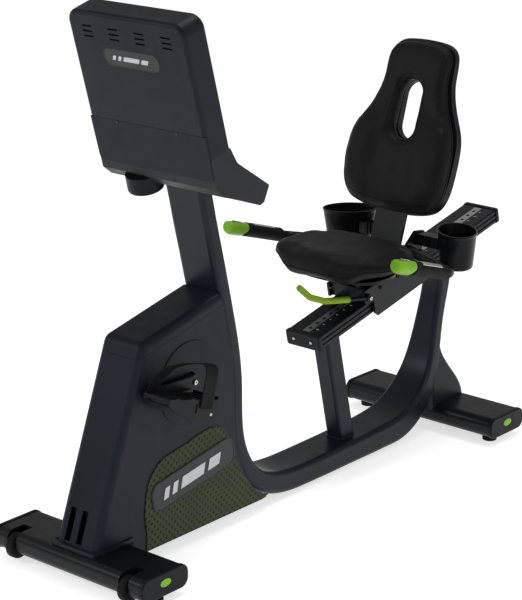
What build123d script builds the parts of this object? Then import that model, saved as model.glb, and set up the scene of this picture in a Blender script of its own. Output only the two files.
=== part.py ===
from build123d import *
import os
from math import cos, sin, radians, hypot, atan2, degrees

os.makedirs("parts", exist_ok=True)

# Recumbent exercise bike. Millimetres, +Z up, floor at z = 0, drive end towards -Y,
# the rider's left towards +X, origin under the middle of the outside box.

# ---- frame -------------------------------------------------------------------------
TUBE_W = 124.0              # width of the bent main tube
TUBE_R = 13.0               # its corner radius
POST_W, POST_D = 56.0, 58.0 # support post under the seat rail
BAR_D, BAR_H = 160.0, 59.0  # floor bars, front to back and height
BAR_Z = 52.0                # height of their centre lines
FRONT_BAR_Y, FRONT_BAR_X = -793.0, 250.0
REAR_BAR_Y, REAR_BAR_X = 651.0, 256.0
CAP_T = 12.0
WHEEL_R, WHEEL_W, WHEEL_X, WHEEL_Y, WHEEL_Z = 33.0, 24.0, 196.0, -852.0, 42.0
FOOT_R, FOOT_H = 21.0, 13.0

# ---- seat rail ---------------------------------------------------------------------
RAIL_SLOPE = 12.9
RAIL_Y, RAIL_Z = 47.0, 426.0 # front end of the rail's top face
RAIL_W, RAIL_H, RAIL_L = 114.0, 42.0, 836.5
RAIL_CAP = 14.0

# ---- drive housing -----------------------------------------------------------------
HOUSE_X, WALL = 70.0, 3.0  # half width, and the wall of housing and tubes
HOUSE_R = 20.0
CRANK_Y, CRANK_Z, CRANK_L = -494.0, 448.0, 164.0
DISC_R = 111.0
PULLEY_R, SMALL_R = 88.0, 22.0
FLY_Y, FLY_Z, FLY_R = -560.0, 212.0, 112.0

# ---- pedals ------------------------------------------------------------------------
PEDAL_TILT = -15.0
SPINDLE_R = 7.0
PEDAL_X0, PEDAL_X1 = 96.0, 181.0
RUN = 0.05                  # radial running clearance

# ---- console -----------------------------------------------------------------------
CON_X = 192.0
CON_TILT = 15.5             # lean of the upper slab towards -Y
CON_Y, CON_Z = -545.0, 1042.0 # lower corner of its outer face
CON_H, CON_T = 350.0, 76.0

# ---- seat, backrest, handles, cups --------------------------------------------------
SEAT_Z, SEAT_T = 566.0, 76.0
BACK_TILT, BACK_TAPER = 18.5, 1.2
PIVOT_Y, PIVOT_Z = 398.0, 578.0
HANDLE_X, HANDLE_SLOPE = 293.0, -17.5
HANDLE_Y, HANDLE_Z = 62.0, 667.5
GRIP_R, BAR_R = 20.0, 14.0
CUP_X, CUP_Y, CUP_TOP, CUP_H = 190.0, 482.0, 656.0, 103.0


def save(name, *solids):
    shape = solids[0] if len(solids) == 1 else Compound(children=list(solids))
    export_step(shape, f"parts/{name}.step")


def block(x0, x1, y0, y1, z0, z1):
    return Pos((x0 + x1) / 2, (y0 + y1) / 2, (z0 + z1) / 2) * Box(x1 - x0, y1 - y0, z1 - z0)


def rod_x(r, x0, x1, y, z):
    return Pos((x0 + x1) / 2, y, z) * Rot(0, 90, 0) * Cylinder(r, x1 - x0)


def rod_z(r, x, y, z0, z1):
    return Pos(x, y, (z0 + z1) / 2) * Cylinder(r, z1 - z0)


def side_face(points):
    return Plane.YZ * make_face(Polyline(*points, close=True))


def prism(points, x0, x1):
    return Pos(x0, 0, 0) * extrude(side_face(points), x1 - x0)


def flip(shape):
    return mirror(shape, about=Plane.YZ)


def save_pairs(name, *shapes):
    # each shape and its mirror image on the other side
    save(name, *[piece for shape in shapes for piece in (shape, flip(shape))])


def solid(shape):
    return shape.solids().sort_by(SortBy.VOLUME)[-1]


def tube_section(y, z, heading, width, depth, radius):
    plane = Plane(origin=(0, y, z), x_dir=(1, 0, 0),
                  z_dir=(0, cos(radians(heading)), sin(radians(heading))))
    return plane * RectangleRounded(width, depth, radius)


def sweep_tube(points, radius, bend):
    path = FilletPolyline(*points, radius=bend)
    start = Plane(origin=path @ 0, z_dir=path % 0)
    return solid(sweep(start * Circle(radius), path=path))


rail_at = Pos(0, RAIL_Y, RAIL_Z) * Rot(RAIL_SLOPE, 0, 0)

# ==== floor bars ====================================================================
def floor_bar(y, half):
    profile = Plane.YZ * Pos(y, BAR_Z) * RectangleRounded(BAR_D, BAR_H, 24)
    hollow = Plane.YZ * Pos(y, BAR_Z) * RectangleRounded(BAR_D - 2 * WALL, BAR_H - 2 * WALL, 21)
    bar = Pos(-half, 0, 0) * extrude(profile, 2 * half)
    return bar, bar - Pos(90 - half, 0, 0) * extrude(hollow, 2 * half - 180)


def bar_cap(y, half):
    profile = Plane.YZ * Pos(y, BAR_Z) * RectangleRounded(BAR_D + 4, BAR_H + 3, 25)
    cap = Pos(half, 0, 0) * extrude(profile, CAP_T)
    cap = fillet(cap.faces().sort_by(Axis.X)[-1].edges(), 4)
    pocket = Plane.YZ * Pos(y, BAR_Z + 4) * Ellipse(19, 10.5)
    return cap - Pos(half + CAP_T - 2, 0, 0) * extrude(pocket, 6)


def cap_plug(y, half):
    plug = Plane.YZ * Pos(y, BAR_Z + 4) * Ellipse(18.5, 10)
    return Pos(half + CAP_T - 2, 0, 0) * extrude(plug, 2.6)


front_bar = floor_bar(FRONT_BAR_Y, FRONT_BAR_X)[1]
rear_outside, rear_bar = floor_bar(REAR_BAR_Y, REAR_BAR_X)
for side in (-1, 1):
    x = side * WHEEL_X
    front_bar -= block(x - 16, x + 16, FRONT_BAR_Y - 100, WHEEL_Y + 39, 0, 120)
    front_bar -= rod_x(5, x - 28, x + 28, WHEEL_Y, WHEEL_Z)
    front_bar -= rod_z(5, side * 232, FRONT_BAR_Y - 7, 10, 50)
    rear_bar -= rod_z(5, side * 224, REAR_BAR_Y - 25, 10, 50)
save("front_bar", solid(front_bar))
save("rear_bar", solid(rear_bar))

bars = ((FRONT_BAR_Y, FRONT_BAR_X), (REAR_BAR_Y, REAR_BAR_X))
save_pairs("bar_end_caps", *[bar_cap(y, half) for y, half in bars])
save_pairs("cap_plugs", *[cap_plug(y, half) for y, half in bars])


def levelling_foot(x, y):
    pad = fillet((rod_z(FOOT_R, x, y, 0, FOOT_H)).edges(), 2.5)
    return pad + rod_z(10, x, y, FOOT_H, BAR_Z - BAR_H / 2) + rod_z(4.9, x, y, 20, 48)


save("levelling_feet", *[levelling_foot(s * x, y) for s in (-1, 1)
                         for x, y in ((232, FRONT_BAR_Y - 7), (224, REAR_BAR_Y - 25))])

# ==== main frame ====================================================================
# y, z, heading in degrees, width, depth, following the bent tube from the console down
# the mast, along the floor and up the rear post
PATH = (
    (-418, 938, -76, 124, 46), (-394.5, 844, -76, 124, 46), (-371, 750, -76, 124, 46),
    (-349, 661, -76, 124, 46), (-328, 572, -77.5, 124, 46), (-308, 476, -80, 124, 46),
    (-298, 385, -88, 124, 46), (-297, 300, -90, 124, 46),
    (-288, 215, -79, 124, 48), (-262, 147, -61, 124, 52), (-219, 94, -41, 124, 57),
    (-160, 62, -18, 124, 61), (-90, 47, -5, 124, 64), (0, 43, 0, 124, 64),
    (100, 43.5, 0.5, 124, 65), (200, 45, 0.7, 124, 66), (280, 46.5, 1.5, 124, 69),
    (350, 49, 3, 124, 72), (430, 57, 10, 124, 76),
    (505, 92, 35, 120, 70), (572, 168, 62, 106, 56), (606, 262, 78, 88, 47),
    (629, 350, 77, 76, 46), (650, 430, 76, 70, 54), (676, 545, 77, 70, 66),
)


def bent_tube(wall):
    return loft([tube_section(y, z, a, w - 2 * wall, d - 2 * wall, TUBE_R - wall)
                 for y, z, a, w, d in PATH])


tube = bent_tube(0)
flare = loft([Pos(0, 608, 262) * RectangleRounded(84, 40, TUBE_R),
              Pos(0, 621, 165) * RectangleRounded(106, 112, TUBE_R + 3),
              Pos(0, 640, 96) * RectangleRounded(120, 164, TUBE_R + 6),
              Pos(0, 642, 66) * RectangleRounded(122, 168, TUBE_R + 6)])
beam = block(-40, 40, FRONT_BAR_Y + BAR_D / 2, -215, 42, 78)

# support post, square to the rail
post_dir = (0, -sin(radians(RAIL_SLOPE)), cos(radians(RAIL_SLOPE)))
post_plane = Plane(origin=(0, 214, 62), x_dir=(1, 0, 0), z_dir=post_dir)
post = extrude(post_plane * RectangleRounded(POST_W, POST_D, 9), 420)
bore = bent_tube(WALL) + extrude(post_plane * RectangleRounded(POST_W - 6, POST_D - 6, 6), 420)
main_frame = tube + flare + beam + post - bore - rear_outside
main_frame -= rail_at * block(-200, 200, -20, 900, -RAIL_H, 300)
save("main_frame", solid(main_frame))

# ==== seat rail =====================================================================
rail = block(-RAIL_W / 2, RAIL_W / 2, 0, RAIL_L, -RAIL_H, 0)
rail = fillet(rail.edges().filter_by(Axis.Y), 5)
for side in (-1, 1):
    x = side * RAIL_W / 2
    for z in (-14, -28):
        rail -= block(min(x, x - side * 3), max(x, x - side * 3), -1, RAIL_L + 1, z - 3, z + 3)
rail -= block(-13, 13, -1, RAIL_L + 1, -2, 1) + block(-50, 50, -1, RAIL_L + 1, WALL - RAIL_H, -6)
holes = [26 + 30 * i for i in range(27)]
for u in holes:
    rail -= Pos(0, u, -5) * Cylinder(5.2, 12)
save("seat_rail", rail_at * solid(rail))

strip = block(-12.8, 12.8, 6, RAIL_L - 6, -2, -0.4)
for u in holes:
    strip -= Pos(0, u, -1) * Cylinder(5.2, 6)
save("index_strip", rail_at * strip)


def rail_cap(u, outer):
    cap = block(-RAIL_W / 2 - 2, RAIL_W / 2 + 2, u, u + RAIL_CAP, -RAIL_H - 2, 2)
    cap = fillet(cap.edges().filter_by(Axis.Y), 7)
    return rail_at * fillet(cap.faces().sort_by(Axis.Y)[outer].edges(), 4)


save("rail_caps", rail_cap(-RAIL_CAP, 0), rail_cap(RAIL_L, -1))

# ==== drive housing =================================================================
FRONT_LEAN = (658.0 - 846.0) / (584.0 - 80.0)


def front_y(z, inset=0.0):
    return -846 + inset * hypot(1, FRONT_LEAN) - FRONT_LEAN * (z - 80)


def top_z(y, inset=0.0):
    return 584 + 0.226 * (y + 658) - inset * hypot(1, 0.226)


REAR_LINE = ((-351.5, 560), (-328.5, 470), (-322, 390), (-321.5, 300), (-313, 213),
             (-285, 134), (-240, 70), (-205, 50), (-186, 43))


def housing_form(inset):
    z_apex = 584 - inset * 1.3
    for _ in range(20):
        z_apex = top_z(front_y(z_apex, inset), inset)
    apex = (front_y(z_apex, inset), z_apex)
    if inset == 0:
        rest = [(-372.5, top_z(-372.5)), *REAR_LINE, (-215, 36), (-706, 36), (-706, 82)]
        foot = (front_y(82), 82)
    else:
        rest = [(-300, top_z(-300, inset)), (-250, 500), (-250, 200), (-150, 60),
                (-150, 20), (-706, 20), (-706, 70)]
        foot = (front_y(70, inset), 70)
    form = prism([apex, *rest, foot], -(HOUSE_X - inset), HOUSE_X - inset)
    corner = [e for e in form.edges().filter_by(Axis.X)
              if abs(e.center().Y - apex[0]) < 1 and abs(e.center().Z - apex[1]) < 1]
    form = fillet(corner, 30 - inset)
    ends = (foot, rest[0])

    def on_outline(e):
        c = e.center()
        if abs(abs(c.X) - (HOUSE_X - inset)) > 0.1:
            return False
        on_front = abs(c.Y - front_y(c.Z, inset)) < 0.5 and c.Z > ends[0][1] + 1
        on_top = abs(c.Z - top_z(c.Y, inset)) < 0.5 and c.Y < ends[1][0] - 1
        near = hypot(c.Y - apex[0], c.Z - apex[1]) < 25
        return on_front or on_top or near
    return fillet([e for e in form.edges() if on_outline(e)], HOUSE_R - inset)


shell = housing_form(0) - housing_form(WALL)
shell -= prism([(y + 1.5, z) for y, z in ((-425, 950), (-348, 640), (-300, 640), (-300, 950))],
               -63.5, 63.5)
for side in (-1, 1):
    shell -= rod_x(24, side * HOUSE_X - 10, side * HOUSE_X + 10, CRANK_Y, CRANK_Z)


def seam(y):
    return 546 + 0.226 * (y + 671)


above = [(-900, seam(-900)), (-200, seam(-200)), (-200, 1000), (-900, 1000)]
below = [(-900, seam(-900) + 0.8), (-200, seam(-200) + 0.8), (-200, -50), (-900, -50)]
port_x = ((-39, -20), (1, 20))
lower = shell - prism(above, -100, 100)
for x0, x1 in port_x:
    lower -= block(x0, x1, -870, -760, 98, 178)
collar = block(-HOUSE_X - 5, HOUSE_X + 5, -852, -706, BAR_Z + BAR_H / 2 + 0.2, 92)
collar = fillet(collar.edges().filter_by(Axis.Z), 8)
collar = solid(collar - housing_form(0) - block(-HOUSE_X, HOUSE_X, -840, -700, 60, 100))
save("housing_shell", solid(lower), collar)
save("housing_top_cover", solid(shell - prism(below, -100, 100)))

# service ports set in the lower front wall
ports = block(-45, 26, -830, -790, 92, 184)
ports -= prism([(front_y(z, WALL + 0.3), z) for z in (80, 200)]
               + [(-900, 200), (-900, 80)], -60, 60)
for x0, x1 in port_x:
    ports -= block(x0 + 1, x1 - 1, -900, -803, 100, 176)
ports = solid(ports)
save("port_insert", ports)
# crank covers, side panels and plates
PANEL = ((-663, 36), (-658, 81), (-664, 128), (-660, 176), (-645, 225), (-607, 262), (-533, 279),
         (-458, 294), (-409, 298), (-374, 286), (-345, 254), (-329, 216), (-314, 176),
         (-290, 134), (-246, 76), (-212, 50), (-196, 40))


def side_panel():
    edge = Spline(*[(y, z) for y, z in PANEL])
    foot = Polyline((PANEL[-1][0], PANEL[-1][1]), (-215, 37), (PANEL[0][0], PANEL[0][1]))
    return Pos(HOUSE_X, 0, 0) * extrude(Plane.YZ * make_face([edge, foot]), 2.5)


save_pairs("side_panels", side_panel())

plate = Plane.YZ * Pos(-484, 192) * Rot(0, 0, 10) * RectangleRounded(316, 82, 30)
plate = Pos(HOUSE_X + 2.5, 0, 0) * extrude(plate, 2)
save_pairs("side_plates", plate)

cover = rod_x(DISC_R, HOUSE_X, HOUSE_X + 2.2, CRANK_Y, CRANK_Z - 6)
cover -= rod_x(24, HOUSE_X - 5, HOUSE_X + 10, CRANK_Y, CRANK_Z)
cover = fillet(cover.faces().sort_by(Axis.X)[-1].edges().sort_by(SortBy.LENGTH)[-1], 1.2)
save_pairs("crank_covers", cover)
cover_screws = [rod_x(4, HOUSE_X + 2.2, HOUSE_X + 3.6, CRANK_Y + 62 * cos(radians(a)),
                      CRANK_Z - 6 + 62 * sin(radians(a))) for a in (110, 230, 350)]

# ==== drive inside the housing ======================================================
shell_bb = rod_x(30, -34, 34, CRANK_Y, CRANK_Z) - rod_x(20, -40, 40, CRANK_Y, CRANK_Z)
arm_bb = prism([(CRANK_Y + 27, CRANK_Z - 16), (CRANK_Y + 27, CRANK_Z + 16), (-332, 470), (-326, 425)],
               -20, 20)
arm_bb -= rod_x(20, -40, 40, CRANK_Y, CRANK_Z)
bracket = solid(shell_bb + arm_bb - tube)
save("bottom_bracket", bracket)
bearings = [rod_x(19.95, x0, x0 + 12, CRANK_Y, CRANK_Z) - rod_x(12 + RUN, x0 - 1, x0 + 13, CRANK_Y, CRANK_Z)
            for x0 in (-32, 20)]
save("crank_bearings", *bearings)

crank_axle = rod_x(12, -76, 76, CRANK_Y, CRANK_Z)
save("crank_axle", crank_axle)
PULLEY_X = 42.0
drive_pulley = rod_x(PULLEY_R, PULLEY_X, PULLEY_X + 14, CRANK_Y, CRANK_Z)
drive_pulley -= rod_x(12, 0, 100, CRANK_Y, CRANK_Z)
for i in range(5):
    a = radians(72 * i)
    drive_pulley -= rod_x(17, 0, 100, CRANK_Y + 50 * cos(a), CRANK_Z + 50 * sin(a))
save("drive_pulley", drive_pulley)

fly = rod_x(FLY_R, -32, 8, FLY_Y, FLY_Z) - rod_x(FLY_R - 16, -40, -18, FLY_Y, FLY_Z)
fly += rod_x(24, -32, 8, FLY_Y, FLY_Z)
fly -= rod_x(8, -60, 60, FLY_Y, FLY_Z)
save("flywheel", fly)
save("pulley_shaft", rod_x(8, -52, 62, FLY_Y, FLY_Z)
     + rod_x(SMALL_R, PULLEY_X, PULLEY_X + 14, FLY_Y, FLY_Z))

gap = hypot(CRANK_Y - FLY_Y, CRANK_Z - FLY_Z)
lean = degrees(atan2(CRANK_Z - FLY_Z, CRANK_Y - FLY_Y))
spread = degrees(atan2(PULLEY_R - SMALL_R, (gap ** 2 - (PULLEY_R - SMALL_R) ** 2) ** 0.5))


def belt_loop(extra):
    def at(y, z, r, a):
        return (y + r * cos(radians(a)), z + r * sin(radians(a)))
    big, little = PULLEY_R + extra, SMALL_R + extra
    up, down = lean + 90 + spread, lean - 90 - spread
    a, b = at(CRANK_Y, CRANK_Z, big, up), at(FLY_Y, FLY_Z, little, up)
    c, d = at(FLY_Y, FLY_Z, little, down), at(CRANK_Y, CRANK_Z, big, down)
    loop = [ThreePointArc(d, at(CRANK_Y, CRANK_Z, big, lean), a), Line(a, b),
            ThreePointArc(b, at(FLY_Y, FLY_Z, little, lean + 180), c), Line(c, d)]
    return extrude(Plane.YZ * make_face(loop), 10)


save("drive_belt", Pos(PULLEY_X + 2, 0, 0) * (belt_loop(2.9) - belt_loop(0.4)))

stand = block(-46, -40, FLY_Y - 22, FLY_Y + 22, 80, FLY_Z + 24)
stand += block(12, 18, FLY_Y - 22, FLY_Y + 22, 80, FLY_Z + 24)
stand += block(-46, -40, FLY_Y - 60, FLY_Y + 60, 80, 88) + block(12, 18, FLY_Y - 60, FLY_Y + 60, 80, 88)
stand -= rod_x(8 + RUN, -60, 60, FLY_Y, FLY_Z)
save("flywheel_stands", *stand.solids())

# ==== cranks and pedals =============================================================
arm_run = (CRANK_L ** 2 - 9.0 ** 2) ** 0.5
spindle_y, spindle_z = CRANK_Y - arm_run, CRANK_Z + 9


def crank_arm():
    ends = (Pos(CRANK_Y, CRANK_Z) * Circle(19)).edges() + (Pos(spindle_y, spindle_z) * Circle(13.5)).edges()
    arm = Pos(76, 0, 0) * extrude(Plane.YZ * make_hull(ends), 14)
    arm = fillet(arm.edges().filter_by(GeomType.LINE).group_by(Axis.X)[-1], 3)
    arm += rod_x(20, 74.5, 90, CRANK_Y, CRANK_Z) + rod_x(10, 90, 91, CRANK_Y, CRANK_Z)
    arm -= rod_x(12, 70, 76, CRANK_Y, CRANK_Z)
    arm -= rod_x(SPINDLE_R, 70, 100, spindle_y, spindle_z)
    return solid(arm)


def other_side(shape):
    # the other arm points the opposite way about the crank axle
    spin = Pos(0, CRANK_Y, CRANK_Z) * Rot(180, 0, 0) * Pos(0, -CRANK_Y, -CRANK_Z)
    return spin * flip(shape)


arm = crank_arm()
save("crank_arms", arm, other_side(arm))
spindle = rod_x(SPINDLE_R, 76, PEDAL_X1 - 4, spindle_y, spindle_z)
save("pedal_spindles", spindle, other_side(spindle))

pedal_at = Pos(0, spindle_y, spindle_z) * Rot(PEDAL_TILT, 0, 0)


def pedal_body():
    tread = block(PEDAL_X0, PEDAL_X1, -28, 158, 0, 10)
    for y in (8, 36, 64, 92, 120):
        tread -= block(PEDAL_X0 + 14, PEDAL_X1 - 14, y, y + 14, -5, 20)
    wing = ((-28, 10), (158, 10), (158, -24), (146, -44), (62, -44), (-14, -14), (-28, -6))
    body = tread + prism(wing, PEDAL_X0, PEDAL_X0 + 5) + prism(wing, PEDAL_X1 - 5, PEDAL_X1)
    body += rod_x(13, PEDAL_X0, PEDAL_X1, 0, 0)
    body += block(PEDAL_X0, PEDAL_X1, 150, 158, -24, 16)
    body -= rod_x(SPINDLE_R + RUN, PEDAL_X0 - 1, PEDAL_X1 - 3.5, 0, 0)
    body -= block(PEDAL_X1 - 6, PEDAL_X1 + 1, 70, 77, -24, 0)
    body -= rod_x(6, PEDAL_X1 - 6, PEDAL_X1 + 1, 134, -28) - rod_x(4, PEDAL_X1 - 6, PEDAL_X1, 134, -28)
    return solid(body)


def pedal_strap():
    outer = ((PEDAL_X0 - 3, -6), (PEDAL_X0 - 3, 12), (100, 48), (116, 77), (138, 92), (168, 99),
             (179, 94), (PEDAL_X1 + 3.3, 76), (PEDAL_X1 + 3.3, -16))
    line = Spline(*[(x, z) for x, z in outer[1:-1]])
    wire = Wire([Line(outer[0], outer[1]), line, Line(outer[-2], outer[-1])])
    band = Plane.XZ * trace(wire, 3)
    band = Pos(0, 150, 0) * extrude(band, 176)
    band -= rod_x(13.3, PEDAL_X0 - 10, PEDAL_X0, 0, 0)
    strip = make_face(Polyline((PEDAL_X0 - 12, -34), (PEDAL_X0 - 12, 8), (PEDAL_X1 + 12, 152),
                               (PEDAL_X1 + 12, 110), close=True))
    return solid(band & Pos(0, 0, -60) * extrude(strip, 260))


pedal, strap = pedal_at * pedal_body(), pedal_at * pedal_strap()


def far_pedal(shape):
    # same attitude as the near pedal, carried at the far arm's end
    return Pos(0, 2 * (CRANK_Y - spindle_y), 2 * (CRANK_Z - spindle_z)) * flip(shape)


for name, piece in (("pedal", pedal), ("strap", strap)):
    save(f"{name}_left", piece)
    save(f"{name}_right", far_pedal(piece))

# ==== transport wheels ==============================================================
for name, x in (("left", WHEEL_X), ("right", -WHEEL_X)):
    wheel = rod_x(WHEEL_R, x - WHEEL_W / 2, x + WHEEL_W / 2, WHEEL_Y, WHEEL_Z)
    wheel = fillet(wheel.edges(), 5) - rod_x(5 + RUN, x - 20, x + 20, WHEEL_Y, WHEEL_Z)
    save(f"transport_wheel_{name}", solid(wheel))
save("wheel_axles", *[rod_x(5, s * WHEEL_X - 26, s * WHEEL_X + 26, WHEEL_Y, WHEEL_Z) for s in (-1, 1)])

# ==== console =======================================================================
con_at = Pos(0, CON_Y, CON_Z) * Rot(CON_TILT, 0, 0)


def back_y(z):
    return CON_Y - (z - CON_Z) * sin(radians(CON_TILT)) / cos(radians(CON_TILT))


slab = Plane.XZ * Pos(0, CON_H / 2 - 60) * RectangleRounded(2 * CON_X, CON_H + 120, 34)
slab = extrude(slab, -CON_T)
slab = fillet(slab.faces().sort_by(Axis.Y)[0].edges(), 11)
slab = fillet(slab.faces().sort_by(Axis.Y)[-1].edges(), 8)
slab -= block(-300, 300, -50, 200, -400, 0)
cover_top = 64.0                       # seam of the lower back cover, up the slab
cover_cut = block(-300, 300, -5, 3, -90, cover_top)
shell = slab - cover_cut
for gx in (-129, -43, 43, 129):
    for row in range(3):
        z = CON_H - 38 - 13.5 * row
        shell -= block(gx - 16, gx + 16, -1, 7, z - 2.2, z + 2.2)
plate_face = Plane.XZ * Pos(0, 238) * RectangleRounded(184, 46, 21)
shell -= extrude(plate_face, -1.6)
shell -= block(-178, 178, CON_T - 2, CON_T + 5, 16, 334)
save("console_shell", con_at * solid(shell))
save("console_plate", con_at * extrude(plate_face, -1.4))
fascia = block(-177.6, 177.6, CON_T - 2, CON_T - 0.2, 16.4, 333.6) - block(-156, 156, 60, 90, 92, 318)
save("console_fascia", con_at * fascia)
save("console_screen", con_at * block(-155.8, 155.8, CON_T - 2, CON_T - 0.8, 92.2, 317.8))

slab_foot = (CON_Y + CON_T * cos(radians(CON_TILT)), CON_Z + CON_T * sin(radians(CON_TILT)))
tray = prism([(back_y(CON_Z), CON_Z), (back_y(1000), 1000), (-522, 966), (-492, 943), (-446, 929),
              (-362, 898), (-346, 904), (-327, 944), (-446, 1021), slab_foot], -CON_X, CON_X)


def edge_at(shape, y, z):
    return min(shape.edges().filter_by(Axis.X),
               key=lambda e: hypot(e.center().Y - y, e.center().Z - z))


tray = fillet([edge_at(tray, -327, 944), edge_at(tray, -362, 898)], 5)
tray = fillet(edge_at(tray, -446, 1021), 30)
tray -= con_at * cover_cut
tray -= tube
deck_lean = degrees(atan2(944 - 1021, -327 + 446))
deck_at = Pos(0, -391.3, 985.6) * Rot(deck_lean, 0, 0)
tray -= deck_at * block(-140, 140, -38, 38, -1.6, 10)
save("console_base", solid(tray))
save("keypad_panel", deck_at * block(-139.6, 139.6, -37.6, 37.6, -1.6, 0))
cover = block(-CON_X + 1, CON_X - 1, 0, 3, -58, cover_top - 0.8)
cover = fillet(cover.edges().filter_by(Axis.Y).sort_by(Axis.Z)[:2], 14)
cover = con_at * fillet(cover.edges().group_by(Axis.Y)[0], 1)
save("console_back_cover", cover)
console_screws = [con_at * Pos(x, -0.6, cover_top - 4.5) * Rot(90, 0, 0) * Cylinder(3.2, 1.2)
                  for x in (-99, 99)]
save("cover_screws", *cover_screws, *[flip(s) for s in cover_screws], *console_screws)

pod = Pos(-80, -486, 940) * Rot(14, 0, 0) * Cylinder(47, 48)
pod = fillet(pod.edges().sort_by(Axis.Z)[0], 10) - tray - con_at * cover_cut - cover - tube
save("sensor_pod", solid(pod))

# ==== seat carriage =================================================================
carriage = fillet(block(-60, 60, 200, 470, 3.5, 44).edges().filter_by(Axis.Z), 6)
save("carriage_box", rail_at * carriage)
cheek = ((190, 44), (470, 44), (470, -52), (236, -52), (226, -40), (226, -2), (190, 4))
cheek_l = prism(cheek, 60, 67) + block(49, 67, 240, 470, -52, -45)
cheek_l -= rod_x(5, 50, 80, 198, 24)
save_pairs("carriage_cheeks", rail_at * solid(cheek_l))
save("glide_pads", *[rail_at * block(x - 12, x + 12, u - 30, u + 30, 0.4, 3.5)
                     for x in (-40, 40) for u in (240, 430)])

lever_pin = rail_at * rod_x(5, 60, 82, 198, 24)
pivot = lever_pin.center()
hub = rod_x(11, 68, 80, pivot.Y, pivot.Z)
arm_rod = sweep_tube([(74, pivot.Y, pivot.Z), (65, 160, 504), (62, 135, 508)], 5.5, 8)
lever_rod = solid(hub + arm_rod - rod_x(5 + RUN, 60, 90, pivot.Y, pivot.Z))
save("lever_rod", lever_rod)
sleeve = sweep_tube([(64, 156, 505), (52, 69, 519), (38, 22, 538), (25, -6, 568)], 9, 26)
tip = Pos(25, -6, 568) * Sphere(9)
save("lever_sleeve", solid(sleeve + tip - lever_rod))


# ==== seat ==========================================================================
SEAT_PLAN = ((0, 366), (70, 364), (135, 350), (180, 314), (203, 262), (206, 205), (198, 150),
             (172, 114), (125, 90), (75, 79), (40, 75), (0, 74))


def mirrored_outline(points):
    return [*points, *[(-x, y) for x, y in reversed(points[1:-1])]]


def seat_form(k, z0, z1):
    plan = make_face(Spline(*[(k * x, 222 + k * (y - 222)) for x, y in mirrored_outline(SEAT_PLAN)],
                            periodic=True))
    return Pos(0, 0, z0) * extrude(plan, z1 - z0)


cushion = seat_form(1, SEAT_Z, SEAT_Z + SEAT_T)
cushion = fillet(cushion.faces().sort_by(Axis.Z)[-1].edges(), 22)
cushion = fillet(cushion.faces().sort_by(Axis.Z)[0].edges(), 12)
save("seat_cushion", cushion)
bracket = prism(((176, SEAT_Z - 8), (240, 500), (360, 500), (348, SEAT_Z - 8)), -48, 48)
bracket -= prism(((190, SEAT_Z - 14), (246, 480), (380, 480), (380, SEAT_Z - 14)), -42, 42)
bracket -= rail_at * block(-100, 100, 150, 520, -60, 44)
save("seat_pan", solid(bracket + seat_form(0.7, SEAT_Z - 8, SEAT_Z)))

# ==== backrest ======================================================================
back_at = Pos(0, PIVOT_Y, PIVOT_Z) * Rot(-BACK_TILT, 0, 0)
FRONT, SPLIT, LOW = -56.0, -8.0, 110.0
BACK_PLAN = ((0, 0), (60, 4), (105, 12), (140, 28), (160, 56), (169, 90), (173, 145), (173, 196),
             (168, 233), (157, 263), (143, 292), (127, 328), (117, 360), (112, 390), (111, 420),
             (109, 446), (102, 468), (82, 486), (46, 494), (0, 496))
SLOT_AT = 406.0             # height of the slot's middle above the pivot
outline = Spline(*mirrored_outline(BACK_PLAN), periodic=True)
back_face = Plane.XZ * make_face(outline)


def back_slab(y0, y1):
    return Pos(0, y0, LOW) * extrude(back_face, -(y1 - y0))


slot = Pos(0, -80, 0) * extrude(Plane.XZ * Pos(0, SLOT_AT) * SlotOverall(165, 80, rotation=90), -200)


pad = back_slab(FRONT, SPLIT) - slot
pad = fillet(pad.faces().sort_by(Axis.Y)[0].edges(), 13)
save("backrest_cushion", back_at * solid(pad))
rear_cut = Pos(0, 20, LOW) * Rot(BACK_TAPER, 0, 0) * block(-400, 400, 0, 300, -200, 900)
shell = solid(back_slab(SPLIT, 40) - rear_cut - slot)
stem_plate = block(-52, 52, SPLIT, SPLIT + 10, 24, 232)
shell -= stem_plate
save("backrest_shell", back_at * solid(shell))
stem = stem_plate + rod_x(15, -52, 52, 0, 0) + block(-52, 52, SPLIT, SPLIT + 10, 0, 40)
stem = solid(stem - rod_x(7, -60, 60, 0, 0))
save("backrest_stem", back_at * stem)
save("pivot_pins", back_at * rod_x(7, -60, 60, 0, 0), lever_pin)

plate_side = ((352, 520), (448, 520), (505, 590), (505, 628), (462, 634), (420, 600), (384, 600))
mount = prism(plate_side, 53, 60) - rail_at * block(-100, 100, 150, 520, -60, 44)
mount = solid(mount - rod_x(7, 40, 70, PIVOT_Y, PIVOT_Z))

# ==== cup holders ===================================================================
def cup_form(inset):
    top = Pos(CUP_X, CUP_Y, CUP_TOP + inset) * Rot(0, 0, 135) * Ellipse(79 - inset, 55 - inset)
    bottom = (Pos(CUP_X + 2, CUP_Y - 2, CUP_TOP - CUP_H + inset) * Rot(0, 0, 135)
              * Ellipse(60 - inset, 45 - inset))
    return loft([bottom, top])


cup = solid(cup_form(0) - cup_form(3))
save_pairs("cup_holders", cup)
arm = block(60, 140, 462, 500, 594, 626)
for x in (72, 84, 96, 108):
    arm -= block(x, x + 5, 455, 466, 590, 630)
arm -= cup_form(0)
save_pairs("back_mounts", mount, solid(arm))

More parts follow.
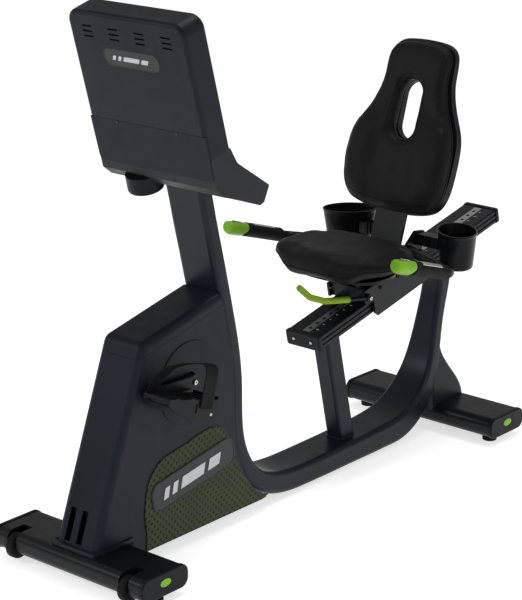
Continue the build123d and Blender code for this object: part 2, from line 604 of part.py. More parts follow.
# ==== handles =======================================================================
handle_at = Pos(HANDLE_X, HANDLE_Y, HANDLE_Z) * Rot(HANDLE_SLOPE, 0, 0)
run = 266.0
corner = (HANDLE_X, HANDLE_Y + run * cos(radians(HANDLE_SLOPE)), HANDLE_Z + run * sin(radians(HANDLE_SLOPE)))
start = (HANDLE_X, HANDLE_Y + 60 * cos(radians(HANDLE_SLOPE)), HANDLE_Z + 60 * sin(radians(HANDLE_SLOPE)))
bar = solid(sweep_tube([start, corner, (60, 436, 584)], BAR_R, 42) - block(0, 60, 400, 480, 540, 640))
save_pairs("handle_bars", bar)


def along(r, u0, u1):
    return Pos(0, (u0 + u1) / 2, 0) * Rot(-90, 0, 0) * Cylinder(r, u1 - u0)


def rocker(length, width, height):
    return Pos(0, 0, -height / 2) * extrude(SlotOverall(length, width, rotation=90), height)


grip = along(GRIP_R, 72, 236) - along(BAR_R, 60, 260)
grip = fillet(grip.edges().filter_by(GeomType.CIRCLE).sort_by(Axis.Y)[-1], 3)
pulse = along(GRIP_R + 0.9, 104, 196) - along(GRIP_R, 100, 200)
pulse = pulse & block(-12, 15, 100, 200, 8, 30)
end = along(GRIP_R + 1.5, -6, 72) - along(BAR_R, 60, 100)
end = fillet(end.edges().filter_by(GeomType.CIRCLE).sort_by(Axis.Y)[0], 14)
end -= block(-30, 30, 8, 90, 18, 40)
end -= Pos(0, 37, 15) * rocker(40, 13, 6)
for name, piece in (("grips", grip), ("pulse_plates", pulse), ("handle_ends", end)):
    save_pairs(name, handle_at * solid(piece))
button = handle_at * Pos(0, 37, 16) * rocker(39.2, 12.2, 5)
save("button_left", button)
save("button_right", flip(button))
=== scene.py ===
import math
import random

import bmesh
import bpy
from mathutils import Matrix, Vector
from mathutils.bvhtree import BVHTree


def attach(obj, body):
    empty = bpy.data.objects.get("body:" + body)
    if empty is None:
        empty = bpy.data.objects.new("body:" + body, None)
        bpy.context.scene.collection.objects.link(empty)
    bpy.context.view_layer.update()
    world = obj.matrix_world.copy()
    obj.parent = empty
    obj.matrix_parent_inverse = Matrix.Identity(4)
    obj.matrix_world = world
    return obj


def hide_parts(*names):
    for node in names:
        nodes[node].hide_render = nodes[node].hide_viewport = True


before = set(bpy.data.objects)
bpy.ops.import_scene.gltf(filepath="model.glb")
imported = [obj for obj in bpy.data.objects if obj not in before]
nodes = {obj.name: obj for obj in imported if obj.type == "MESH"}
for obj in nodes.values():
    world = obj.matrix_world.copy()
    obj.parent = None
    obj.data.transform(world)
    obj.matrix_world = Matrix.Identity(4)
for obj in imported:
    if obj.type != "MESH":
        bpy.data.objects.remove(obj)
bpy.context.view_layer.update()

random.seed(11)
MM = 0.001

# ---- places repeated from the CAD, in millimetres -----------------------------------
RAIL_SLOPE, RAIL_Y, RAIL_Z = 12.9, 47.0, 426.0
BACK_TILT, PIVOT_Y, PIVOT_Z, BACK_LOW = 18.5, 398.0, 578.0, 110.0
HANDLE_X, HANDLE_Y, HANDLE_Z, HANDLE_SLOPE = 293.0, 62.0, 667.5, -17.5
CUP_X, CUP_Y, CUP_TOP, CUP_H = 190.0, 482.0, 656.0, 103.0
CRANK_Y, CRANK_Z, CRANK_RUN, CRANK_RISE = -494.0, 448.0, 163.753, 9.0
PEDAL_TILT, PEDAL_X0, PEDAL_X1 = -15.0, 96.0, 181.0
CON_TILT, CON_Y, CON_Z = 15.5, -545.0, 1042.0
HOUSE_X = 70.0              # half the drive housing's width

# ---- studio, in metres --------------------------------------------------------------
SKY_STRENGTH, FLOOR_GLOW = 0.38, 0.64
LENS_MM, SENSOR_MM = 127.1, 36.0
CAMERA_AT, CAMERA_LOOKS = (3.481, -4.1865, 2.2414), (-0.6217, 0.7235, -0.3002)
DECK_Y, DECK_Z, DECK_LEAN = -391.3, 985.6, -32.9


def placed(y, z, turn, x=0.0):
    """Millimetre frame at x, y, z, turned about X by degrees, as a matrix in metres."""
    return (Matrix.Translation(Vector((x, y, z)) * MM) @ Matrix.Rotation(math.radians(turn), 4, "X")
            @ Matrix.Diagonal((MM, MM, MM, 1)))


RAIL = placed(RAIL_Y, RAIL_Z, RAIL_SLOPE)
BACK = placed(PIVOT_Y, PIVOT_Z, -BACK_TILT)
HANDLE = placed(HANDLE_Y, HANDLE_Z, HANDLE_SLOPE, HANDLE_X)
CONSOLE = placed(CON_Y, CON_Z, CON_TILT)
DECK = placed(DECK_Y, DECK_Z, DECK_LEAN)
PEDAL = placed(CRANK_Y - CRANK_RUN, CRANK_Z + CRANK_RISE, PEDAL_TILT)
WORLD = placed(0, 0, 0)
MIRROR = Matrix.Diagonal((-1, 1, 1, 1))
FAR_SIDE = Matrix.Translation(Vector((0, 2 * CRANK_RUN, -2 * CRANK_RISE)) * MM) @ MIRROR


# ---- materials ----------------------------------------------------------------------
def nodes_of(name):
    mat = bpy.data.materials.new(name)
    mat.use_nodes = True
    tree = mat.node_tree
    shader = tree.nodes["Principled BSDF"]
    coords = tree.nodes.new("ShaderNodeTexCoord").outputs["Object"]
    return mat, tree, shader, coords


def texture(tree, kind, coords, **values):
    node = tree.nodes.new(kind)
    tree.links.new(coords, node.inputs["Vector"])
    for key, value in values.items():
        if key in ("feature", "bands_direction", "wave_type"):
            setattr(node, key, value)
        else:
            node.inputs[key].default_value = value
    return node


def spread(tree, value, low, high, from_low=0.3, from_high=0.7):
    node = tree.nodes.new("ShaderNodeMapRange")
    tree.links.new(value, node.inputs["Value"])
    node.inputs["From Min"].default_value = from_low
    node.inputs["From Max"].default_value = from_high
    node.inputs["To Min"].default_value = low
    node.inputs["To Max"].default_value = high
    return node.outputs["Result"]


def blend_colours(tree, factor, a, b):
    node = tree.nodes.new("ShaderNodeMix")
    node.data_type = "RGBA"
    tree.links.new(factor, node.inputs["Factor"])
    for socket, value in ((6, a), (7, b)):
        if hasattr(value, "is_output"):
            tree.links.new(value, node.inputs[socket])
        else:
            node.inputs[socket].default_value = (*value, 1.0)
    return node.outputs[2]


def bump(tree, height, strength, distance, before=None):
    node = tree.nodes.new("ShaderNodeBump")
    node.inputs["Strength"].default_value = strength
    node.inputs["Distance"].default_value = distance
    tree.links.new(height, node.inputs["Height"])
    if before is not None:
        tree.links.new(before, node.inputs["Normal"])
    return node.outputs["Normal"]


def surface(name, colour, rough, metal=0.0, grain=900.0, grain_depth=0.25, drift=0.16,
            edge=0.35, coat=0.0, sheen=0.0, leather=False, brushed=False, specular=0.14):
    """Paint, moulded plastic, rubber, vinyl or metal: colour drift, surface grain, a painted highlight on
    convex edges.
    """
    mat, tree, shader, coords = nodes_of(name)
    dark = tuple(c * (1 - drift) for c in colour)
    light = tuple(min(1.0, c * (1 + drift)) for c in colour)
    cloud = texture(tree, "ShaderNodeTexNoise", coords, Scale=7.0, Detail=4.0)
    tint = blend_colours(tree, spread(tree, cloud.outputs["Fac"], 0, 1), dark, light)
    geometry = tree.nodes.new("ShaderNodeNewGeometry")
    # painted highlight: convex edges (high pointiness) are mixed toward a paler tint, standing in for light
    # caught on rounded edges; edge sets how much
    painted_edge_highlight = spread(tree, geometry.outputs["Pointiness"], 0.0, edge, 0.52, 0.60)
    pale = tuple(min(1.0, c * 1.7 + 0.006) for c in colour)
    tint = blend_colours(tree, painted_edge_highlight, tint, pale)
    tree.links.new(tint, shader.inputs["Base Color"])
    smudge = texture(tree, "ShaderNodeTexNoise", coords, Scale=23.0, Detail=6.0)
    tree.links.new(spread(tree, smudge.outputs["Fac"], rough * 0.86, min(1.0, rough * 1.16)),
                   shader.inputs["Roughness"])
    if leather:
        cells = texture(tree, "ShaderNodeTexVoronoi", coords, Scale=grain, feature="DISTANCE_TO_EDGE")
        creases = spread(tree, cells.outputs["Distance"], 0, 1, 0.0, 0.25)
        normal = bump(tree, creases, grain_depth, 0.0004)
        soft = texture(tree, "ShaderNodeTexNoise", coords, Scale=38.0, Detail=3.0)
        normal = bump(tree, soft.outputs["Fac"], 0.16, 0.004, normal)
    elif brushed:
        mapping = tree.nodes.new("ShaderNodeMapping")
        mapping.inputs["Scale"].default_value = (900.0, 14.0, 900.0)
        tree.links.new(coords, mapping.inputs["Vector"])
        lines = texture(tree, "ShaderNodeTexNoise", mapping.outputs["Vector"], Scale=1.0, Detail=2.0)
        normal = bump(tree, lines.outputs["Fac"], grain_depth, 0.0003)
    else:
        fine = texture(tree, "ShaderNodeTexNoise", coords, Scale=grain, Detail=2.0)
        normal = bump(tree, fine.outputs["Fac"], grain_depth, 0.0003)
    tree.links.new(normal, shader.inputs["Normal"])
    shader.inputs["Metallic"].default_value = metal
    shader.inputs["Specular IOR Level"].default_value = specular
    shader.inputs["Coat Weight"].default_value = coat
    shader.inputs["Coat Roughness"].default_value = 0.25
    shader.inputs["Sheen Weight"].default_value = sheen
    return mat


def dotted(name, colour, dot_colour, pitch, radius):
    """Olive moulding with a diamond grid of recessed dark dots, on the vertical side faces."""
    mat, tree, shader, coords = nodes_of(name)
    split = tree.nodes.new("ShaderNodeSeparateXYZ")
    tree.links.new(coords, split.inputs[0])

    def math_node(kind, a, b=None):
        node = tree.nodes.new("ShaderNodeMath")
        node.operation = kind
        for i, value in enumerate((a, b)):
            if value is None:
                continue
            if hasattr(value, "is_output"):
                tree.links.new(value, node.inputs[i])
            else:
                node.inputs[i].default_value = value
        return node.outputs[0]

    across, up = split.outputs["Y"], split.outputs["Z"]
    cells = []
    for mixed in (math_node("ADD", across, up), math_node("SUBTRACT", across, up)):
        part = math_node("FRACT", math_node("ADD", math_node("DIVIDE", mixed, pitch), 100.0))
        cells.append(math_node("SUBTRACT", part, 0.5))
    away = math_node("SQRT", math_node("ADD", math_node("MULTIPLY", cells[0], cells[0]),
                                       math_node("MULTIPLY", cells[1], cells[1])))
    mask = spread(tree, away, 1, 0, radius - 0.04, radius + 0.04)
    cloud = texture(tree, "ShaderNodeTexNoise", coords, Scale=9.0, Detail=4.0)
    base = blend_colours(tree, spread(tree, cloud.outputs["Fac"], 0, 1),
                         tuple(c * 0.85 for c in colour), tuple(c * 1.12 for c in colour))
    tree.links.new(blend_colours(tree, mask, base, dot_colour), shader.inputs["Base Color"])
    fine = texture(tree, "ShaderNodeTexNoise", coords, Scale=1100.0, Detail=2.0)
    normal = bump(tree, fine.outputs["Fac"], 0.2, 0.0003)
    tree.links.new(bump(tree, mask, -0.8, 0.0008, normal), shader.inputs["Normal"])
    shader.inputs["Roughness"].default_value = 0.42
    shader.inputs["Specular IOR Level"].default_value = 0.14
    return mat


PAINT = surface("mast_paint", (0.0075, 0.0100, 0.0185), 0.36, grain=1500, coat=0.10)
BLACK = surface("frame_paint", (0.0038, 0.0042, 0.0058), 0.34, grain=1500, coat=0.10)
SHELL = surface("housing_plastic", (0.0085, 0.0108, 0.0190), 0.42, grain=1300, grain_depth=0.3)
CONSOLE_SKIN = surface("console_plastic", (0.0080, 0.0100, 0.0170), 0.42, grain=1300, grain_depth=0.3)
TRAY = surface("tray_plastic", (0.015, 0.017, 0.0225), 0.45, grain=1300, grain_depth=0.3)
CAP = surface("cap_plastic", (0.005, 0.0055, 0.007), 0.40, grain=1200)
LIME = surface("lime_plastic", (0.20, 0.44, 0.028), 0.32, grain=900, grain_depth=0.15, drift=0.08, edge=0.1)
LIME_SOFT = surface("lime_grip", (0.20, 0.33, 0.012), 0.48, grain=700, grain_depth=0.3, drift=0.10,
                    edge=0.1)
OLIVE = dotted("olive_plastic", (0.030, 0.046, 0.012), (0.003, 0.0035, 0.004), 0.0210, 0.26)
BADGE = surface("badge_plastic", (0.008, 0.0085, 0.0105), 0.30, grain=1200, coat=0.4)
SILVER = surface("plate_silver", (0.42, 0.42, 0.43), 0.34, metal=1.0, brushed=True, drift=0.06, edge=0.1)
STEEL = surface("bright_steel", (0.55, 0.55, 0.56), 0.28, metal=1.0, brushed=True, drift=0.06, edge=0.1)
IRON = surface("iron", (0.10, 0.10, 0.11), 0.5, metal=1.0, grain=300)
PORT = surface("port_plastic", (0.002, 0.002, 0.0025), 0.5, grain=900)
RUBBER = surface("rubber", (0.005, 0.005, 0.0055), 0.62, grain=900, grain_depth=0.4)
PEDAL_SKIN = surface("pedal_plastic", (0.006, 0.0065, 0.008), 0.38, grain=900)
SCREEN = surface("screen", (0.002, 0.0025, 0.0035), 0.10, grain=60, grain_depth=0.01, coat=1.0)
FASCIA = surface("fascia_plastic", (0.004, 0.0045, 0.006), 0.30, grain=1200, coat=0.3)
KEYS = surface("keys_plastic", (0.015, 0.0165, 0.021), 0.42, grain=1200)
KEY_CAPS = surface("key_cap_plastic", (0.16, 0.17, 0.19), 0.40, grain=1200)
VINYL = surface("vinyl", (0.0030, 0.0031, 0.0038), 0.50, grain=620, grain_depth=0.22, leather=True,
                sheen=0.03, drift=0.12)
PIPING = surface("vinyl_piping", (0.004, 0.004, 0.0045), 0.42, grain=900, leather=True)
THREAD = surface("thread", (0.01, 0.01, 0.011), 0.7, grain=1500)
GRIP = surface("grip_rubber", (0.0055, 0.0055, 0.006), 0.55, grain=700, grain_depth=0.5)
CUP = surface("cup_plastic", (0.00475, 0.005, 0.006), 0.32, grain=1300)
WHITE = surface("mark_paint", (0.55, 0.56, 0.56), 0.5, grain=900, drift=0.04)
RING = surface("ring_plastic", (0.50, 0.62, 0.42), 0.35, grain=900, drift=0.04)

FINISH = {
    PAINT: "main_frame",
    BLACK: "front_bar rear_bar bottom_bracket flywheel_stands crank_arms carriage_box carriage_cheeks "
           "seat_pan backrest_stem back_mounts handle_bars lever_rod seat_rail",
    SHELL: "housing_shell housing_top_cover crank_covers",
    CONSOLE_SKIN: "console_shell console_back_cover",
    TRAY: "console_base",
    CAP: "bar_end_caps rail_caps glide_pads backrest_shell sensor_pod button_left button_right "
         "drive_pulley",
    LIME: "cap_plugs",
    LIME_SOFT: "lever_sleeve",
    OLIVE: "side_panels",
    BADGE: "side_plates console_plate cover_screws",
    SILVER: "index_strip",
    STEEL: "crank_bearings crank_axle pulley_shaft pedal_spindles wheel_axles pivot_pins "
           "pulse_plates",
    IRON: "flywheel",
    PORT: "port_insert",
    RUBBER: "levelling_feet drive_belt transport_wheel_left transport_wheel_right",
    PEDAL_SKIN: "pedal_left pedal_right",
    SCREEN: "console_screen",
    FASCIA: "console_fascia",
    KEYS: "keypad_panel",
}
for finish, names in FINISH.items():
    for name in names.split():
        node = nodes[name]
        node.data.materials.clear()
        node.data.materials.append(finish)


# ---- mesh helpers -------------------------------------------------------------------
def piece(name, verts, faces, mat, body, slot, at=WORLD, smooth=True, replaces=(), levels=0):
    mesh = bpy.data.meshes.new(name)
    mesh.from_pydata([at @ Vector(v) for v in verts], [], faces)
    work = bmesh.new()
    work.from_mesh(mesh)
    bmesh.ops.recalc_face_normals(work, faces=work.faces)
    work.to_mesh(mesh)
    work.free()
    for face in mesh.polygons:
        face.use_smooth = smooth
    obj = bpy.data.objects.new(name, mesh)
    bpy.context.scene.collection.objects.link(obj)
    mesh.materials.append(mat)
    if levels:
        sub = obj.modifiers.new("subdivision", "SUBSURF")
        sub.levels = sub.render_levels = levels
    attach(obj, body)
    if replaces:
        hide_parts(*replaces)
    return obj


def mirrored(points):
    return [*points, *[(-x, *rest) for x, *rest in reversed(points[1:-1])]]


def smooth_loop(points, count):
    """A closed Catmull-Rom curve through the points, resampled evenly."""
    dense, n = [], len(points)
    for i in range(n):
        a, b, c, d = (Vector(points[(i + k) % n]) for k in (-1, 0, 1, 2))
        for j in range(12):
            t = j / 12
            dense.append(0.5 * (2 * b + (c - a) * t + (2 * a - 5 * b + 4 * c - d) * t ** 2
                                + (3 * b - a - 3 * c + d) * t ** 3))
    return resample(dense, count, True)


def resample(points, count, closed=False):
    pts = [Vector(p) for p in points]
    if closed:
        pts.append(pts[0])
    lengths = [0.0]
    for a, b in zip(pts, pts[1:]):
        lengths.append(lengths[-1] + (b - a).length)
    out, k = [], 0
    steps = count if closed else count - 1
    for i in range(count):
        target = lengths[-1] * i / steps
        while k < len(lengths) - 2 and lengths[k + 1] < target:
            k += 1
        span = lengths[k + 1] - lengths[k] or 1.0
        out.append(pts[k].lerp(pts[k + 1], min(1.0, (target - lengths[k]) / span)))
    return out


def grid_faces(rows, columns, wrap_rows, wrap_columns):
    faces = []
    for r in range(rows if wrap_rows else rows - 1):
        for c in range(columns if wrap_columns else columns - 1):
            r2, c2 = (r + 1) % rows, (c + 1) % columns
            faces.append((r * columns + c, r * columns + c2, r2 * columns + c2, r2 * columns + c))
    return faces


def rings_piece(name, rings, mat, body, slot, at=WORLD, closed=False, caps=True, **more):
    """A skin over rings of equally many points; open runs of rings are capped."""
    count = len(rings[0])
    verts = [p for ring in rings for p in ring]
    faces = grid_faces(len(rings), count, closed, True)
    if caps and not closed:
        faces += [tuple(range(count)), tuple(range(len(verts) - 1, len(verts) - count - 1, -1))]
    return piece(name, verts, faces, mat, body, slot, at, **more)


def tube(name, path, radius, mat, body, slot, at=WORLD, sides=10, closed=False, **more):
    """A round bar along points, its section turned without twist."""
    pts = [Vector(p) for p in path]
    count = len(pts)
    ring_list, up = [], None
    for i, p in enumerate(pts):
        ahead = pts[(i + 1) % count] if closed or i < count - 1 else p
        behind = pts[i - 1] if closed or i > 0 else p
        along = (ahead - behind).normalized()
        if up is None:
            up = along.orthogonal()
        up = (up - along * up.dot(along)).normalized()
        side = along.cross(up)
        r = radius[i] if isinstance(radius, (list, tuple)) else radius
        ring_list.append([p + r * (math.cos(a) * up + math.sin(a) * side)
                          for a in (2 * math.pi * k / sides for k in range(sides))])
    return rings_piece(name, ring_list, mat, body, slot, at, closed=closed, **more)


def turned(name, profile, mat, body, slot, at=WORLD, sides=48, axis="Y", **more):
    """A body of revolution about the local axis: profile is (place along it, radius)."""
    ring_list = []
    for u, r in profile:
        ring = []
        for k in range(sides):
            a = 2 * math.pi * k / sides
            ring.append((r * math.cos(a), u, r * math.sin(a)) if axis == "Y" else
                        (u, r * math.cos(a), r * math.sin(a)) if axis == "X" else
                        (r * math.cos(a), r * math.sin(a), u))
        ring_list.append(ring)
    return rings_piece(name, ring_list, mat, body, slot, at, **more)


def both_sides(make, name, **more):
    """Calls make for the +X piece and for its mirror image."""
    return [make(f"{name}_{side}", flip, **more)
            for side, flip in (("left", Matrix.Identity(4)), ("right", MIRROR))]


def bolt(name, at, radius, body, height=None, mat=None):
    """A socket-head screw: domed rim and a hexagonal recess, standing along local +Z."""
    h = height or radius * 0.7
    outer = [[(r * math.cos(a), r * math.sin(a), z) for a in (math.pi * k / 12 for k in range(24))]
             for r, z in ((radius, -0.5), (radius, h * 0.75), (radius * 0.88, h), (radius * 0.6, h))]
    hexagon = []
    for k in range(24):
        a = math.pi * k / 12
        reach = 0.5 * radius * math.cos(math.pi / 6) / math.cos((a % (math.pi / 3)) - math.pi / 6)
        hexagon.append((reach * math.cos(a), reach * math.sin(a)))
    outer += [[(x, y, h) for x, y in hexagon], [(x, y, h * 0.35) for x, y in hexagon]]
    return rings_piece(name, outer, mat or STEEL, body, "bright_steel", at, smooth=False)


def facing(at, x, y, z, turn=(0, 0, 0)):
    spin = Matrix.Identity(4)
    for angle, axis in zip(turn, "XYZ"):
        spin = Matrix.Rotation(math.radians(angle), 4, axis) @ spin
    return at @ Matrix.Translation((x, y, z)) @ spin


# ---- soft pieces --------------------------------------------------------------------
def inflate(obj, voxel, pressure, cap):
    """Swells a closed pad with a short cloth run and keeps each point near where it began."""
    bpy.context.view_layer.objects.active = obj
    remesh = obj.modifiers.new("remesh", "REMESH")
    remesh.mode, remesh.voxel_size = "VOXEL", voxel
    dg = bpy.context.evaluated_depsgraph_get()
    mesh = bpy.data.meshes.new_from_object(obj.evaluated_get(dg))
    obj.modifiers.clear()
    obj.data = mesh
    began = [v.co.copy() for v in mesh.vertices]
    cloth = obj.modifiers.new("cloth", "CLOTH")
    s = cloth.settings
    s.use_pressure, s.uniform_pressure_force = True, pressure
    s.effector_weights.gravity = 0
    s.quality, s.mass = 5, 0.3
    s.tension_stiffness = s.compression_stiffness = 15
    s.bending_stiffness = 0.5
    scene = bpy.context.scene
    for number in range(1, 21):
        scene.frame_set(number)
    dg = bpy.context.evaluated_depsgraph_get()
    moved = bpy.data.meshes.new_from_object(obj.evaluated_get(dg))
    obj.modifiers.clear()
    for v, start in zip(moved.vertices, began):
        step = v.co - start
        if step.length > cap:
            v.co = start + step.normalized() * cap
    obj.data = moved
    scene.frame_set(1)
    for face in obj.data.polygons:
        face.use_smooth = True
    relax = obj.modifiers.new("relax", "SMOOTH")
    relax.factor, relax.iterations = 0.5, 6
    sub = obj.modifiers.new("subdivision", "SUBSURF")
    sub.levels = sub.render_levels = 1
    dg = bpy.context.evaluated_depsgraph_get()
    final = bpy.data.meshes.new_from_object(obj.evaluated_get(dg))
    obj.modifiers.clear()
    obj.data = final
    for face in obj.data.polygons:
        face.use_smooth = True
    return BVHTree.FromPolygons([v.co.copy() for v in final.vertices],
                                [tuple(f.vertices) for f in final.polygons])


def ease(t):
    t = max(0.0, min(1.0, t))
    return t * t * (3 - 2 * t)


def roll(rho, start, power):
    if rho <= start:
        return 1.0
    return max(0.0, 1 - ((rho - start) / (1 - start)) ** power) ** (1 / power)


SEAT_PLAN = ((0, 362), (70, 360), (131, 346), (176, 311), (199, 261), (202, 205), (194, 152),
             (169, 118), (123, 94), (75, 83), (40, 79), (0, 78))
SEAT_C = 222.0
plan = smooth_loop(mirrored([(x, y, 0) for x, y in SEAT_PLAN]), 96)


def seat_heights(x, y, rho):
    """Top, rim and underside of the saddle: dished top, thin side wings, deep rolled nose."""
    ahead = ease((SEAT_C - y) / 130)
    nose = ease((164 - abs(x)) / 62) * ahead
    behind = ease((y - SEAT_C - 20) / 110)
    top = 624 + 14 * rho ** 2 + 3 * (1 - (x / 206) ** 2) - 20 * nose * rho ** 5 - 4 * behind
    under_rim = 594 - 26 * nose - 6 * behind
    rim = 0.45 * top + 0.55 * under_rim
    under = 567 + (under_rim - 567) * ease((rho - 0.35) / 0.6)
    return top, rim, under


def seat_mesh():
    rhos = (0.12, 0.25, 0.4, 0.55, 0.66, 0.75, 0.82, 0.88, 0.92, 0.955, 0.98, 0.995)
    rows = []
    for side, run in ((1, rhos), (0, (1.0,)), (-1, rhos[::-1])):
        for rho in run:
            row = []
            for p in plan:
                x, y = p.x * rho, SEAT_C + (p.y - SEAT_C) * rho
                top, rim, under = seat_heights(x, y, rho)
                z = (rim + roll(rho, 0.86, 2.2) * (top - rim) if side > 0 else
                     rim - roll(rho, 0.88, 2.2) * (rim - under) if side < 0 else rim)
                row.append((x, y, z))
            rows.append(row)
    return rows


seat = rings_piece("seat_pad", seat_mesh(), VINYL, "carriage", "vinyl", replaces=["seat_cushion"])
seat_tree = inflate(seat, 0.005, 4.0, 0.006)


def on_surface(tree, points, lift):
    out = []
    for p in points:
        place, normal, _, _ = tree.find_nearest(Vector(p))
        out.append(place + normal * lift)
    return out


def seam(name, tree, points, radius, body, mat=None, closed=True):
    path = on_surface(tree, [WORLD @ Vector(p) for p in points], radius * 0.15 * MM)
    return tube(name, [p / MM for p in path], radius, mat or PIPING, body, "vinyl", closed=closed, sides=8)


def stitches(name, tree, points, body):
    """A row of short raised threads sunk into the cover."""
    verts, faces = [], []
    run = on_surface(tree, [WORLD @ Vector(p) for p in points], 0.0)
    for i in range(0, len(run) - 1, 2):
        a, b = run[i] / MM, run[i + 1] / MM
        along = (b - a).normalized()
        _, normal, _, _ = tree.find_nearest(run[i])
        side = along.cross(normal).normalized() * 0.5
        lift = normal * 0.45
        base = len(verts)
        mid = (a + b) / 2 + lift * 1.3
        verts += [a - lift, a + side * 0.4 + lift * 0.3, a - side * 0.4 + lift * 0.3,
                  mid + side, mid - side, mid - lift * 2.4,
                  b - lift, b + side * 0.4 + lift * 0.3, b - side * 0.4 + lift * 0.3]
        for quad in ((0, 1, 3, 5), (0, 5, 4, 2), (1, 2, 4, 3), (6, 5, 3, 7), (6, 8, 4, 5), (7, 3, 4, 8),
                     (0, 2, 1), (6, 7, 8)):
            faces.append(tuple(base + q for q in quad))
    return piece(name, verts, faces, THREAD, body, "vinyl")


def seat_line(rho, drop, count):
    out = []
    for p in smooth_loop(mirrored([(x, y, 0) for x, y in SEAT_PLAN]), count):
        x, y = p.x * rho, SEAT_C + (p.y - SEAT_C) * rho
        top, rim, under = seat_heights(x, y, 1.0)
        out.append((x, y, rim - drop))
    return out


seam("seat_welt", seat_tree, seat_line(1.0, 9, 160), 1.9, "carriage")
stitches("seat_stitches", seat_tree, seat_line(1.0, 3, 520), "carriage")

# the backrest pad, drawn on the backrest's own plane: x across, z up, y from front to rear
BACK_PLAN = ((0, 2), (60, 5), (112, 11), (150, 26), (170, 54), (177, 91), (178, 145), (175, 196),
             (167, 232), (155, 262), (141, 291), (125, 327), (115, 360), (110, 390), (109, 420),
             (107, 445), (100, 466), (81, 484), (46, 492), (0, 494))
SLOT_LOW, SLOT_HIGH, SLOT_R = 296 - 82.5, 296 + 82.5, 40.0
FRONT, SPLIT = -50.0, -9.0
WING = ((110, -47), (150, -50), (200, -55), (255, -60), (314, -60), (345, -55), (373, -46), (400, -41),
        (620, -40))         # height above the pivot against depth of the wings


def slot_loop(count, grow=0.0):
    r, pts = SLOT_R + grow, []
    for k in range(25):
        a = math.pi * (1.5 + k / 24 * 0.5)
        pts.append((r * math.cos(a), 0, SLOT_LOW + SLOT_R + r * math.sin(a)))
    for k in range(25):
        a = math.pi * k / 24 * 0.5
        pts.append((r * math.cos(a), 0, SLOT_HIGH - SLOT_R + r * math.sin(a)))
    return resample(mirrored(pts), count, True)


def back_loop(count):
    return smooth_loop(mirrored([(x, 0, z) for x, z in BACK_PLAN]), count)


def back_front(x, z):
    """Depth of the pad's face: side wings that stand forward at the waist, a flatter head."""
    up = BACK_LOW + z
    wing = WING[-1][1]
    for (a, u), (b, v) in zip(WING, WING[1:]):
        if a <= up <= b:
            wing = u + (v - u) * ease((up - a) / (b - a))
    centre = -45 + 5 * ease((up - 350) / 60)
    return centre + (wing - centre) * ease((abs(x) - 52) / 66)


def back_mesh(count=112):
    outer, inner = back_loop(count), slot_loop(count)
    section = [(0.0, 0.0), (0.0, 0.35), (0.004, 0.62), (0.03, 0.82), (0.08, 0.94), (0.16, 1.0), (0.28, 1.0),
               (0.42, 1.0), (0.56, 1.0), (0.68, 1.0), (0.78, 0.985), (0.86, 0.93), (0.92, 0.83),
               (0.965, 0.66), (0.99, 0.42), (1.0, 0.2), (0.995, 0.04), (0.97, 0.0), (0.7, 0.0), (0.35, 0.0)]
    rows = []
    for s, deep in section:
        row = []
        for a, b in zip(inner, outer):
            p = a.lerp(b, s)
            face = back_front(p.x, p.z)
            row.append((p.x, SPLIT + (face - SPLIT) * deep, BACK_LOW + p.z))
        rows.append(row)
    return rows


rest = rings_piece("backrest_pad", back_mesh(), VINYL, "carriage", "vinyl", BACK, closed=True,
                   replaces=["backrest_cushion"])
rest_tree = inflate(rest, 0.005, 4.0, 0.006)


def back_line(s, depth, count):
    outer, inner = back_loop(count), slot_loop(count)
    return [BACK @ Vector((p.x, depth, BACK_LOW + p.z)) / MM
            for p in (a.lerp(b, s) for a, b in zip(inner, outer))]


seam("backrest_welt", rest_tree, back_line(1.0, SPLIT - 13, 200), 1.7, "carriage")
seam("backrest_face_seam", rest_tree, back_line(0.90, FRONT, 200), 1.1, "carriage")
stitches("backrest_stitches", rest_tree, back_line(0.875, FRONT, 700), "carriage")
seam("backrest_slot_seam", rest_tree, back_line(0.11, FRONT, 120), 1.1, "carriage")


# ---- handles ------------------------------------------------------------------------
def grip(name, flip):
    profile = [(74, 14.2), (74, 18.4), (76, 20.0), (79, 20.4), (84, 20.0)]
    u = 84.0
    while u < 228:
        profile += [(u + 2.2, 20.0), (u + 2.9, 19.6), (u + 3.6, 20.0)]
        u += 3.6
    profile += [(232, 20.2), (235, 19.4), (236.5, 17.0), (236.5, 14.2)]
    return turned(name, profile, GRIP, "carriage", "grip_rubber", flip @ HANDLE, replaces=["grips"])


both_sides(grip, "grip_sleeve")


def handle_end(name, flip):
    """Green tip: rounded nose, flat sloping top for the buttons, a skirt that runs back underneath."""
    rings = []
    for u, r, flat in ((-5.5, 2, 2), (-5, 8, 7), (-3, 13.5, 10.5), (1, 17.8, 13.4), (7, 20.4, 15.2),
                       (14, 21.5, 16.2), (26, 21.6, 16.9), (40, 21.4, 17.3), (54, 21.3, 17.7),
                       (66, 21.2, 18.2), (71.5, 21.1, 18.6), (72, 20.2, 18.0), (72, 14.2, 14.2)):
        ring = []
        for k in range(40):
            a = 2 * math.pi * k / 40
            x, z = r * math.cos(a), r * math.sin(a)
            z = min(z, flat) if z > 0 else z
            back = 16 * ease((-z + 4) / 24) if u > 60 else 0
            ring.append((x, u - back, z))
        rings.append(ring)
    return rings_piece(name, rings, LIME, "carriage", "lime_plastic", flip @ HANDLE,
                       replaces=["handle_ends"], levels=1)


both_sides(handle_end, "handle_tip")


def button_rings(name, flip, body):
    out = []
    for i, u in enumerate((27.5, 46.5)):
        ring = [(6.2 * math.cos(a), u + 7.4 * math.sin(a), 18.7)
                for a in (2 * math.pi * k / 40 for k in range(40))]
        out.append(tube(f"{name}_{i}", ring, 1.1, RING, body, "button_plastic", flip @ HANDLE,
                        closed=True, sides=8))
    return out


button_rings("button_ring_left", Matrix.Identity(4), "left_button")
button_rings("button_ring_right", MIRROR, "right_button")


